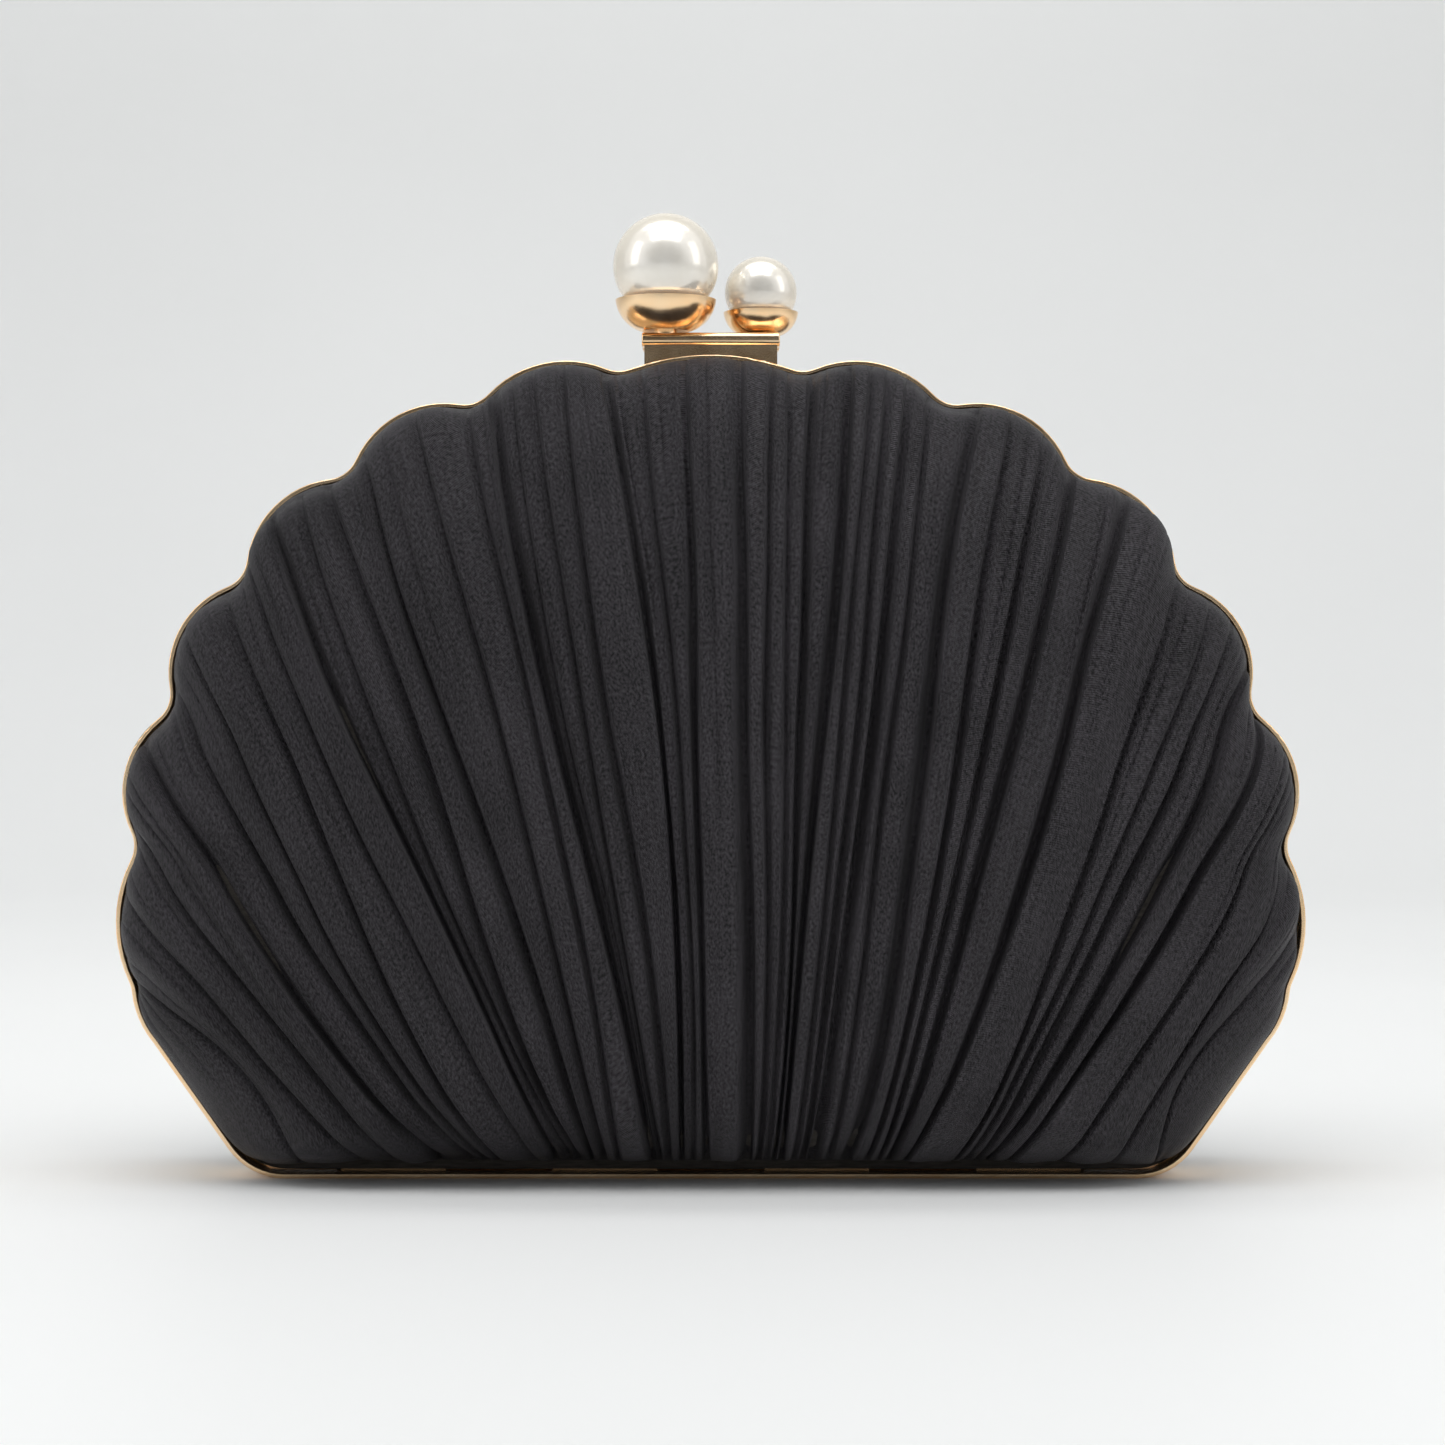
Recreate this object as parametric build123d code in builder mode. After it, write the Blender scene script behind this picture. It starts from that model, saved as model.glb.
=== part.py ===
from build123d import *
import os
from math import cos, hypot, pi, radians, sin

# Scallop-shell clutch purse: two dished halves in scalloped metal frames, hinged along the
# bottom edge and held at the top by a pair of clasp jaws that carry one pearl each.
# +Z is up, +X is to the right seen from the front, and the front faces -Y. The origin is on
# the surface that the purse stands on, below the hinge pin. Sizes are in millimetres.

os.makedirs("parts", exist_ok=True)

# Rim outline: valleys between scallops lie on a squarish oval round (0, WAIST_Z)
WAIST_Z = 40.5  # height of the widest line
VALLEY_HALF_WIDTH = 108.6
VALLEY_RISE = 111.2  # from the waist up to the oval's top
OVAL_POWER = 2.17  # above the waist
BELLY_POWER = 2.75  # below the waist
FIRST_VALLEY = 9.0  # degrees from vertical
VALLEY_STEP = 13.9  # degrees from one valley to the next
BULGES = (5.3, 6.1, 6.3, 6.6, 6.2, 3.6)  # rise of each scallop over its chord, top to side
CENTRE_BULGE = 3.6
LOW_BULGE = 0.9
FLANK_TOP = (104.5, 25.5)
BASE_CORNER = 86.5
VALLEY_FILLET = 6.0
FLANK_FILLET = 9.0
CORNER_FILLET = 13.0

# Metal frame of each half
SPLIT = 0.15  # half of the gap between the two frames
BAND_DEPTH = 7.2
BAND_WALL = 1.0
FLANGE_WALL = 1.8
BAND_ROUND = 0.3
RELIEF_REACH = 2.2  # the frames stop this far from the split beside the hinge
RELIEF_HEIGHT = 4.7
RELIEF_LENGTH = 143.0
TOE_HEIGHT = 1.95
TOE_LENGTH = 180.0

# Dished layers: depth from the split and inset from the valley oval, rim to middle
RIM_DEPTH = 2.0
DISH_STEPS = ((9.0, 2.6), (16.0, 3.6), (21.5, 8.0), (25.0, 18.0), (27.3, 32.0), (28.3, 50.0))
OUTLINE_POINTS = 32
BASE_GAP = 0.9  # height of the dish's lowest point at no inset
BASE_RATE = 0.8  # how fast the dish's bottom rises with its inset
WAIST_RATE = 0.45  # how fast the dish's widest line rises with its inset
LAYER_GAP = 0.15
COVER_WALL = 1.6
WADDING_WALL = 1.0
SHELL_WALL = 1.6
LINING_WALL = 0.6
BRIM_WALL = 1.5
BRIM_INSET = 1.3
SKIRT_INSET = 1.1
SKIRT_DEPTH = 6.8
WADDING_DEPTH = COVER_WALL + LAYER_GAP
SHELL_DEPTH = WADDING_DEPTH + WADDING_WALL + LAYER_GAP
LINING_DEPTH = SHELL_DEPTH + SHELL_WALL + LAYER_GAP
CAVITY_DEPTH = LINING_DEPTH + LINING_WALL
FLANGE_INSET = DISH_STEPS[0][1] + CAVITY_DEPTH

# Hinge along the bottom
HINGE_Z = 1.75
KNUCKLE_RADIUS = 1.55
KNUCKLE_BORE = 0.8
PIN_RADIUS = 0.75
KNUCKLES = 7
KNUCKLE_PITCH = 20.0
KNUCKLE_LENGTH = 19.7
LEAF_LOW = 0.25
LEAF_WALL = 1.0
PIN_HEAD_RADIUS = 1.4
PIN_HEAD = 0.8

# Clasp jaws on the centre scallop
JAW_LENGTH = 26.0
JAW_DEPTH = 5.1
JAW_NEAR = 0.2  # from the split to the jaw
JAW_LOW = 156.2
JAW_WALL = 2.6
JAW_ROUND = 1.1
WEB_NEAR = 0.9
WEB_DEPTH = 4.0
WEB_LENGTH = 25.0
WEB_LOW = 152.0
BOSS_RADIUS = 2.2
BOSS_HEIGHT = 0.4
PEARL_Y = JAW_NEAR + JAW_DEPTH / 2
CLEARANCE = 0.05

# Pearls and their cups: sizes are measured from each pearl's centre
CUP_LIP = 0.7
CUP_ROUND = 0.72  # radius of the bowl's outer curve, as a part of its rim's
POST_RADIUS = 0.8
POST_FOOT = 1.4  # how far the post goes into the jaw
POST_REACH = 5.0  # how far it goes into the pearl
LARGE = {"x": -8.5, "side": -1, "radius": 10.0, "z": 171.5, "rim_drop": 6.4, "rim": 9.5, "foot": 4.4}
SMALL = {"x": 9.5, "side": 1, "radius": 6.9, "z": 167.3, "rim_drop": 3.8, "rim": 7.1, "foot": 3.8}

# Soft parts inside, and the two chain eyes
GUSSET_WALL = 1.4
GUSSET_GAP = 0.4
GUSSET_EDGE = ((84.0, 9.0), (72.0, 62.0))  # inner fold, foot to top
GUSSET_OUT = 120.0
POCKET_HALF_WIDTH = 36.0
POCKET_LOW = 50.0
POCKET_HIGH = 87.0
POCKET_WALL = 0.7
EYE_ANGLE = 52.0
EYE_RADIUS = 3.0
EYE_BORE = 1.5
EYE_WALL = 1.0
EYE_NEAR = 0.6
EYE_REACH = 2.4  # from the flange's edge in to the eye's centre

# Each half is drawn on its own plane, whose normal points out of the purse
FRONT = Plane.XZ
REAR = Plane(origin=(0, 0, 0), x_dir=(-1, 0, 0), z_dir=(0, 1, 0))


def oval_radius(angle, half_width, height, power):
    """Distance from the oval's centre to its line, at an angle in degrees from vertical."""
    across = abs(sin(radians(angle))) / half_width
    along = abs(cos(radians(angle))) / height
    return (across**power + along**power) ** (-1 / power)


def valley(index, inset):
    """A valley between two scallops, counted from the centre scallop; negative is left."""
    angle = FIRST_VALLEY + VALLEY_STEP * (abs(index) - 1)
    radius = oval_radius(angle, VALLEY_HALF_WIDTH - inset, VALLEY_RISE - inset, OVAL_POWER)
    side = 1 if index > 0 else -1
    return (side * radius * sin(radians(angle)), WAIST_Z + radius * cos(radians(angle)))


def crest(start, end, bulge):
    """The point at the middle of a scallop, out from the purse's middle over its chord."""
    middle = ((start[0] + end[0]) / 2, (start[1] + end[1]) / 2)
    across = (end[1] - start[1], start[0] - end[0])
    length = hypot(*across)
    outwards = 1 if across[0] * middle[0] + across[1] * (middle[1] - WAIST_Z) > 0 else -1
    reach = outwards * bulge / length
    return (middle[0] + across[0] * reach, middle[1] + across[1] * reach)


def rim_face(inset):
    """The frame's scalloped outline with its flat base, taken in by an inset."""
    count = len(BULGES) + 1
    run, rise = FLANK_TOP[0] - BASE_CORNER, FLANK_TOP[1]
    slant = hypot(run, rise)
    flank = (FLANK_TOP[0] - inset * rise / slant, FLANK_TOP[1] + inset * run / slant)
    corner = BASE_CORNER - inset * (slant - run) / rise
    with BuildSketch() as outline:
        with BuildLine():
            start, end = valley(-1, inset), valley(1, inset)
            ThreePointArc(start, crest(start, end, CENTRE_BULGE), end)
            for side in (-1, 1):
                for step, bulge in enumerate(BULGES, start=1):
                    start, end = valley(side * step, inset), valley(side * (step + 1), inset)
                    ThreePointArc(start, crest(start, end, bulge), end)
                start, end = valley(side * count, inset), (side * flank[0], flank[1])
                ThreePointArc(start, crest(start, end, LOW_BULGE), end)
                Line(end, (side * corner, inset))
            Line((-corner, inset), (corner, inset))
        make_face()
        valleys = outline.vertices().filter_by(lambda v: v.Y > flank[1] + 1)
        fillet(valleys, VALLEY_FILLET + inset)
        flanks = outline.vertices().filter_by(lambda v: abs(v.Y - flank[1]) < 0.01)
        fillet(flanks, FLANK_FILLET - inset)
        feet = outline.vertices().filter_by(lambda v: v.Y < inset + 0.01)
        fillet(feet, CORNER_FILLET - inset)
    return outline.sketch


def dish_point(turn, inset):
    """A point of the smooth dish outline; turn is degrees clockwise from the top."""
    waist = WAIST_Z + WAIST_RATE * inset
    top = WAIST_Z + VALLEY_RISE - inset - waist
    bottom = waist - BASE_GAP - BASE_RATE * inset
    upper = cos(radians(turn)) >= 0
    height, power = (top, OVAL_POWER) if upper else (bottom, BELLY_POWER)
    side = 1 if sin(radians(turn)) >= 0 else -1
    up = 1 if upper else -1
    across = (VALLEY_HALF_WIDTH - inset) * abs(sin(radians(turn))) ** (2 / power)
    along = height * abs(cos(radians(turn))) ** (2 / power)
    return (side * across, waist + up * along)


def dish_face(inset):
    """The smooth outline that the dished layers share, at an inset from the valley oval."""
    turns = [360 * i / OUTLINE_POINTS for i in range(OUTLINE_POINTS)]
    with BuildSketch() as outline:
        with BuildLine():
            Spline(*[dish_point(turn, inset) for turn in turns], periodic=True)
        make_face()
    return outline.sketch


def dish(base, layer):
    """The closed dish of one half, with everything outside this layer's depth taken off."""
    with BuildPart() as bowl:
        first_inset = DISH_STEPS[0][1]
        for depth, inset in ((RIM_DEPTH + layer, first_inset), *DISH_STEPS):
            with BuildSketch(base.offset(depth - layer)):
                add(dish_face(inset + layer))
        loft(ruled=True)
    return bowl.part


def slab(base, near, far, face):
    """A plate of the given outline between two depths from the split."""
    with BuildPart() as plate:
        with BuildSketch(base.offset(near)):
            add(face)
        extrude(amount=far - near)
    return plate.part


def save(piece, name):
    """Labels a finished piece and writes its STEP file."""
    piece.label = name
    export_step(piece, f"parts/{name}.step")


def frame(base, side):
    """One half's metal frame: a scalloped band with a flat flange at the mouth."""
    with BuildPart() as metal:
        with BuildSketch(base.offset(SPLIT)):
            add(rim_face(0))
            add(rim_face(BAND_WALL), mode=Mode.SUBTRACT)
        extrude(amount=BAND_DEPTH - SPLIT)
        mouth = metal.faces().sort_by(Axis.Y)[0 if side < 0 else -1]
        fillet(mouth.edges(), BAND_ROUND)
        with BuildSketch(base.offset(SPLIT)):
            add(rim_face(0))
            add(dish_face(FLANGE_INSET), mode=Mode.SUBTRACT)
        extrude(amount=FLANGE_WALL)
        Box(RELIEF_LENGTH, 2 * RELIEF_REACH, 2 * RELIEF_HEIGHT, mode=Mode.SUBTRACT)
        Box(TOE_LENGTH, 2 * RELIEF_REACH, 2 * TOE_HEIGHT, mode=Mode.SUBTRACT)
    return metal.part


def cover(base):
    """The pleated satin, as a plain skin with a skirt that fills the scallops."""
    with BuildPart() as satin:
        add(dish(base, 0))
        add(slab(base, RIM_DEPTH + BRIM_WALL, SKIRT_DEPTH, rim_face(SKIRT_INSET)))
        add(slab(base, 0, RIM_DEPTH + BRIM_WALL, rim_face(0)), mode=Mode.SUBTRACT)
        add(dish(base, WADDING_DEPTH), mode=Mode.SUBTRACT)
    return satin.part


def wadding(base):
    """The thin foam sheet between the satin and the shell."""
    with BuildPart() as foam:
        add(dish(base, WADDING_DEPTH))
        add(slab(base, 0, RIM_DEPTH + BRIM_WALL, rim_face(0)), mode=Mode.SUBTRACT)
        add(dish(base, SHELL_DEPTH), mode=Mode.SUBTRACT)
    return foam.part


def shell(base):
    """The moulded dish with the scalloped brim that seats on the frame's flange."""
    with BuildPart() as board:
        add(dish(base, SHELL_DEPTH))
        add(slab(base, RIM_DEPTH, RIM_DEPTH + BRIM_WALL, rim_face(BRIM_INSET)))
        add(dish(base, LINING_DEPTH), mode=Mode.SUBTRACT)
    return board.part


def lining(base):
    """The satin glued inside the shell."""
    with BuildPart() as satin:
        add(dish(base, LINING_DEPTH))
        add(dish(base, CAVITY_DEPTH), mode=Mode.SUBTRACT)
    return satin.part


def knuckles(side, first):
    """Every second hinge knuckle, each with the leaf that joins it to the frame's band."""
    start = -KNUCKLE_PITCH * (KNUCKLES - 1) / 2
    middles = [start + KNUCKLE_PITCH * i for i in range(first, KNUCKLES, 2)]
    with BuildPart() as tubes:
        with Locations(*[(x, side * RELIEF_REACH / 2, LEAF_LOW + LEAF_WALL / 2) for x in middles]):
            Box(KNUCKLE_LENGTH, RELIEF_REACH, LEAF_WALL)
        with Locations(*[Location((x, 0, HINGE_Z), (0, 90, 0)) for x in middles]):
            Cylinder(KNUCKLE_RADIUS, KNUCKLE_LENGTH)
        with Locations(*[Location((x, 0, HINGE_Z), (0, 90, 0)) for x in middles]):
            Cylinder(KNUCKLE_BORE, KNUCKLE_LENGTH + 1, mode=Mode.SUBTRACT)
    return tubes.part


def jaw(base, side, pearl):
    """One clasp jaw: a rounded bar on a web that sits on the band's centre scallop."""
    with BuildPart() as bar:
        with BuildSketch(Plane.YZ.offset(-JAW_LENGTH / 2)):
            with Locations((side * PEARL_Y, JAW_LOW + JAW_WALL / 2)):
                RectangleRounded(JAW_DEPTH, JAW_WALL, JAW_ROUND)
        extrude(amount=JAW_LENGTH)
        ends = bar.edges().group_by(Axis.X)
        fillet(ends[0] + ends[-1], BAND_ROUND)
        with BuildSketch(base.offset(WEB_NEAR)):
            with Locations((0, (WEB_LOW + JAW_LOW + 1) / 2)):
                Rectangle(WEB_LENGTH, JAW_LOW + 1 - WEB_LOW)
            add(rim_face(0), mode=Mode.SUBTRACT)
        extrude(amount=WEB_DEPTH)
        with Locations((pearl["x"], side * PEARL_Y, JAW_LOW + JAW_WALL)):
            Cylinder(BOSS_RADIUS, 2 * BOSS_HEIGHT)
        low = (Align.CENTER, Align.CENTER, Align.MIN)
        with Locations((pearl["x"], side * PEARL_Y, JAW_LOW + JAW_WALL - POST_FOOT)):
            Cylinder(POST_RADIUS + CLEARANCE, POST_FOOT + 1, align=low, mode=Mode.SUBTRACT)
    return bar.part


def cup_foot_drop(pearl):
    """From a pearl's centre down to the foot of its cup, on the jaw's boss."""
    return pearl["z"] - JAW_LOW - JAW_WALL - BOSS_HEIGHT


def cup(pearl):
    """The polished bowl under a pearl, which touches it only round the post."""
    seat = pearl["radius"] + CLEARANCE
    drop, rim, foot = pearl["rim_drop"], pearl["rim"], pearl["foot"]
    low = cup_foot_drop(pearl)
    lip, rise = rim - CUP_LIP, seat - drop
    hollow = (lip**2 + rise**2) / (2 * rise)
    with BuildPart() as bowl:
        middle = (pearl["x"], pearl["side"] * PEARL_Y, pearl["z"])
        with BuildSketch(Plane(middle, x_dir=(1, 0, 0), z_dir=(0, -1, 0))):
            with BuildLine():
                Polyline((0, -seat), (0, -low), (foot, -low))
                RadiusArc((foot, -low), (rim, -drop), -CUP_ROUND * rim)
                Line((rim, -drop), (lip, -drop))
                RadiusArc((lip, -drop), (0, -seat), hollow)
            make_face()
        revolve(axis=Axis((pearl["x"], pearl["side"] * PEARL_Y, 0), (0, 0, 1)))
        with Locations((pearl["x"], pearl["side"] * PEARL_Y, pearl["z"] - low)):
            Cylinder(POST_RADIUS + CLEARANCE, 2 * low, mode=Mode.SUBTRACT)
    return bowl.part


def pearl_ball(pearl):
    """A pearl with the blind hole for its post."""
    with BuildPart() as ball:
        with Locations((pearl["x"], pearl["side"] * PEARL_Y, pearl["z"])):
            Sphere(pearl["radius"])
        with Locations((pearl["x"], pearl["side"] * PEARL_Y, pearl["z"] - pearl["radius"])):
            Cylinder(POST_RADIUS + CLEARANCE, 2 * POST_REACH, mode=Mode.SUBTRACT)
    return ball.part


def post(pearl):
    """The stud from the jaw, through the cup and into the pearl."""
    foot = JAW_LOW + JAW_WALL - POST_FOOT + CLEARANCE
    tip = pearl["z"] - pearl["radius"] + POST_REACH - CLEARANCE
    with BuildPart() as stud:
        with Locations((pearl["x"], pearl["side"] * PEARL_Y, foot)):
            Cylinder(POST_RADIUS, tip - foot, align=(Align.CENTER, Align.CENTER, Align.MIN))
    return stud.part


def gusset(side):
    """A folded cloth gusset beside the hinge, as a flat pad across the split."""
    foot, top = GUSSET_EDGE
    with BuildPart() as cloth:
        with BuildSketch(FRONT.offset(-GUSSET_WALL / 2)):
            add(dish_face(FLANGE_INSET + GUSSET_GAP))
            with BuildSketch(mode=Mode.INTERSECT):
                with BuildLine():
                    Polyline(
                        (side * foot[0], foot[1]),
                        (side * GUSSET_OUT, foot[1]),
                        (side * GUSSET_OUT, top[1]),
                        (side * top[0], top[1]),
                        close=True,
                    )
                make_face()
        extrude(amount=GUSSET_WALL)
    return cloth.part


def chain_eye(side):
    """A flat eye on the rear flange's inner edge, for the clip of a shoulder chain."""
    turn = radians(EYE_ANGLE)
    edge = dish_point(EYE_ANGLE, FLANGE_INSET)
    middle = (side * (edge[0] - EYE_REACH * sin(turn)), edge[1] - EYE_REACH * cos(turn))
    with BuildPart() as eye:
        with BuildSketch(FRONT.offset(-EYE_NEAR - EYE_WALL)):
            with Locations(middle):
                Circle(EYE_RADIUS)
            with Locations(Location((middle[0], middle[1], 0), (0, 0, 90 - side * EYE_ANGLE))):
                Rectangle(2 * EYE_RADIUS, 1.4 * EYE_RADIUS, align=(Align.MIN, Align.CENTER))
            with Locations(middle):
                Circle(EYE_BORE, mode=Mode.SUBTRACT)
            add(dish_face(FLANGE_INSET), mode=Mode.INTERSECT)
        extrude(amount=EYE_WALL)
    return eye.part


# Front half
save(frame(FRONT, -1), "front_frame")
save(cover(FRONT), "front_cover")
save(wadding(FRONT), "front_wadding")
save(shell(FRONT), "front_shell")
save(lining(FRONT), "front_lining")
save(knuckles(-1, 0), "front_knuckles")
save(jaw(FRONT, -1, LARGE), "front_clasp_jaw")
save(cup(LARGE), "large_pearl_cup")
save(pearl_ball(LARGE), "large_pearl")
save(post(LARGE), "large_pearl_post")

# Rear half
save(frame(REAR, 1), "rear_frame")
save(cover(REAR), "rear_cover")
save(wadding(REAR), "rear_wadding")
save(shell(REAR), "rear_shell")
save(lining(REAR), "rear_lining")
save(knuckles(1, 1), "rear_knuckles")
save(jaw(REAR, 1, SMALL), "rear_clasp_jaw")
save(cup(SMALL), "small_pearl_cup")
save(pearl_ball(SMALL), "small_pearl")
save(post(SMALL), "small_pearl_post")
save(gusset(-1), "left_gusset")
save(gusset(1), "right_gusset")
save(chain_eye(-1), "left_chain_eye")
save(chain_eye(1), "right_chain_eye")

with BuildPart() as hinge_pin:
    with Locations(Location((0, 0, HINGE_Z), (0, 90, 0))):
        Cylinder(PIN_RADIUS, KNUCKLE_PITCH * KNUCKLES)
    head_x = (KNUCKLE_PITCH * KNUCKLES + PIN_HEAD) / 2
    with Locations(*[Location((x, 0, HINGE_Z), (0, 90, 0)) for x in (-head_x, head_x)]):
        Cylinder(PIN_HEAD_RADIUS, PIN_HEAD)
save(hinge_pin.part, "hinge_pin")

with BuildPart() as slip_pocket:
    pocket_depth = DISH_STEPS[-1][0] - CAVITY_DEPTH - POCKET_WALL
    with BuildSketch(REAR.offset(pocket_depth)):
        with Locations((0, (POCKET_LOW + POCKET_HIGH) / 2)):
            Rectangle(2 * POCKET_HALF_WIDTH, POCKET_HIGH - POCKET_LOW)
    extrude(amount=POCKET_WALL)
save(slip_pocket.part, "slip_pocket")
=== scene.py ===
import math

import bpy
import numpy as np
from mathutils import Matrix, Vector


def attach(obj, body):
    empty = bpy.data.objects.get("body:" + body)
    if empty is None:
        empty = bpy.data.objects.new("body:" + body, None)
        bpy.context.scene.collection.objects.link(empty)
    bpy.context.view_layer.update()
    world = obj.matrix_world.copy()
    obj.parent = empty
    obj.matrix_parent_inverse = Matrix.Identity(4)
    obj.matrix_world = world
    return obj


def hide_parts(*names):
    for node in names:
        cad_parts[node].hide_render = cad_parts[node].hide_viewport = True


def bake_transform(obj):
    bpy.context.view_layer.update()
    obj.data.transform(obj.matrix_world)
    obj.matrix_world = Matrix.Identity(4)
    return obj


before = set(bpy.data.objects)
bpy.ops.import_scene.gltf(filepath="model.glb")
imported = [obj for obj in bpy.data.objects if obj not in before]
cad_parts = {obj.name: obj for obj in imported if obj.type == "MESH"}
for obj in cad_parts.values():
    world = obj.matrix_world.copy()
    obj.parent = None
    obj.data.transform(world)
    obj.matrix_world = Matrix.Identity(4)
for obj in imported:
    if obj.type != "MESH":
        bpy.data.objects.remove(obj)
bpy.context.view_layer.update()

# Scallop-shell clutch: pleated satin covers, linings, gussets and pocket are made here as
# surfaces over the metal frame. Lengths are in metres, written as millimetres times MM.
MM = 0.001

MID_Z = 40.5 * MM  # height of the middle that every outline is measured round
CARDINAL_STEPS = 2160  # directions in which an outline is measured

# Pleated cover of one half
SEAT_DEPTH = 3.7 * MM  # where the satin meets the frame, from the split
FACE_DEPTH = 30.8 * MM
SEAT_INSET = 1.35 * MM
BASE_INSET = 3.6 * MM  # along the base, where the metal shows under the satin
DOME_POWER = 3.0
SHOULDER = 0.2  # the lower, the squarer the edge of the dome
BASE_SHOULDER = 0.36
SIDE_SHOULDER = 0.29
SCALLOP_FADE = 8.0
PLEAT_COLUMNS = 10  # columns of each band between two folds or creases
FLANK_COLUMNS = 34  # columns of the two outermost bands
STEP_DOWN = 0.35 * MM  # each pleat lies this much under the one nearer the middle
DEEP = 1.8  # a fold this deep, in mm, has the next broad pleat on top again
SINK = 1.75  # groove depth for each mm of a fold's depth
FLOOR = -4.0 * MM  # lowest a groove goes, clear of the board shell
LIP = 0.55 * MM  # width of a pleat's rounded edge
SLOPE = 0.85  # width of the soft side of a groove, for each mm of its depth
CROWN = 0.06  # rise of a pleat's middle over its edges, as a share of its width
CREASE_SPACING = 3.1  # degrees of rim for each crease inside a pleat
CREASE_REACH = 4.5  # the same along the base, in mm
CREASE_WIDTH = 1.0 * MM

# Folds of the cover: degrees round the rim, place along the base and depth in mm, then x and z
# in mm a third and two thirds of the way down
FOLDS = (
    (-91.5, -74.4, 0.6, -93.9, 27.6, -83.7, 16.9), (-82.8, -63.2, 0.7, -92.4, 36.3, -78.3, 20.3),
    (-75.8, -57, 0.8, -91.1, 45.6, -74.5, 25.3), (-68.9, -50.5, 1.9, -88.2, 53.7, -70.7, 28.6),
    (-62.5, -43.7, 1.2, -81.9, 60.6, -64.2, 32.2), (-57.5, -41.2, 0.8, -80.1, 67.6, -62.8, 35.3),
    (-52.2, -38.7, 1.1, -73.4, 72.5, -58.2, 38), (-48.7, -31.7, 0.6, -68.2, 76, -50.7, 40.4),
    (-44.6, -28.9, 1.9, -64.7, 81.9, -46, 44.2), (-40.9, -25.8, 0.8, -60.5, 84.4, -43.7, 44.8),
    (-38.3, -23.9, 1.5, -53.8, 86.4, -40.3, 45.5), (-34.1, -21.6, 1.6, -49.6, 90.6, -34.4, 48.5),
    (-28.1, -19.1, 1, -41.1, 95.5, -29.3, 50.8), (-23.4, -16.8, 0.9, -34.1, 96.3, -23.8, 51.2),
    (-20.9, -10.9, 2.2, -31.6, 96.6, -20.1, 51.4), (-18.7, -10, 0.6, -28.8, 98.3, -18.3, 52.2),
    (-16.6, -9, 0.8, -25.2, 100.1, -16.7, 52.9), (-13.7, -7.3, 1.2, -20.6, 100.8, -12.3, 53.4),
    (-10.3, -5.4, 1.9, -11.3, 100.7, -6.6, 53.2), (-6.7, -3, 0.7, -7.5, 101.2, -3.5, 53.5),
    (-2.4, -0.5, 1.5, -2.8, 102.3, -1.7, 54), (2.9, 7.3, 2, 6.3, 102.3, 7.4, 54),
    (5.9, 8.6, 0.8, 9.9, 101.5, 10.1, 53.5), (7.4, 10.1, 0.6, 13.8, 100.9, 12.9, 53.2),
    (9.6, 11.7, 1.6, 16.2, 100.3, 15, 52.9), (13.1, 13.2, 2.1, 22.4, 101, 17.5, 53.3),
    (15, 15.1, 0.7, 25, 100.6, 20.4, 53.1), (16.5, 16.7, 1.1, 27.6, 100.2, 22.5, 52.8),
    (18.6, 18.2, 1.7, 30.2, 98.7, 24.6, 52.1), (21, 21.7, 0.8, 34, 96.7, 28.5, 51.1),
    (25.6, 25.8, 2, 40.9, 96.1, 35.5, 50.5), (28.5, 28.4, 1.2, 46.5, 95.2, 39.1, 50),
    (32.2, 30.8, 1.4, 51.5, 92.2, 41.7, 48.8), (36.3, 33.2, 2, 56.6, 87.9, 46, 46.4),
    (41.4, 35.4, 2.2, 64.9, 84.4, 52.8, 44.1), (50.1, 44.5, 1.1, 72.7, 75, 60.4, 39.6),
    (53.7, 46.7, 0.8, 77.9, 71.6, 63, 38.3), (56.7, 49.2, 1.3, 81.5, 69.3, 65.4, 37.4),
    (61.3, 51.2, 1.9, 85.6, 63.2, 69.7, 33.6), (65.5, 54.8, 2, 89.8, 58.1, 73, 31.4),
    (70.8, 64.1, 0.9, 94.6, 51.7, 79.7, 28.5), (77.2, 72.9, 0.7, 98.2, 43.8, 85.8, 24.6),
    (86.2, 81.6, 0.6, 98.3, 33.4, 88.2, 20.6),
)
FLANK = (93, 86, 0, 104, 23, 96, 11)
MIDDLE_PLACE = 3  # a place along the base, in mm, that lies in the middle pleat
WANDER = 0.3 * MM  # how far a fold strays from its course
WANDER_FADE = 12  # degrees of rim over which the straying dies out towards a flank
EDGE_SHARE = 0.08  # share of the columns drawn out to the rim at each side
RIPPLES = 14
RIPPLE_LOW, RIPPLE_TOP = 0.03 * MM, 0.05 * MM  # of each ripple, and what the rim adds to it

# Lining of one half, slip pocket and gussets
LINING_MOUTH = 2.05 * MM  # depth of the lining's edge from the split
LINING_RISE = 20.9 * MM
LINING_UPPER = (3.0, 0.25)  # powers of the lining's dome above its middle and below it
LINING_LOWER = (2.0, 0.3)
LINING_GAP = 0.3 * MM
LINING_COLUMNS = 288
LINING_ROWS = 52
POCKET_HALF_WIDTH = 36.0 * MM
POCKET_LOW, POCKET_HIGH = 50.0 * MM, 87.0 * MM
POCKET_ROUND = 7.0 * MM
HEM_RADIUS = 0.45 * MM
GUSSET_HALF = 1.9 * MM  # half of the folded gusset's depth at its sewn edges
GUSSET_FOLD = np.array([[84.0, 9.0], [72.0, 62.0]]) * MM  # inner fold, foot and top
GUSSET_ANGLES = (108.5, 78.0)  # sewn edge, foot and top, in degrees from vertical


def smooth(x):
    """Smooth step: 0 below 0, 1 above 1, and 3x^2 - 2x^3 between."""
    x = np.clip(x, 0, 1)
    return x * x * (3 - 2 * x)


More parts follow.
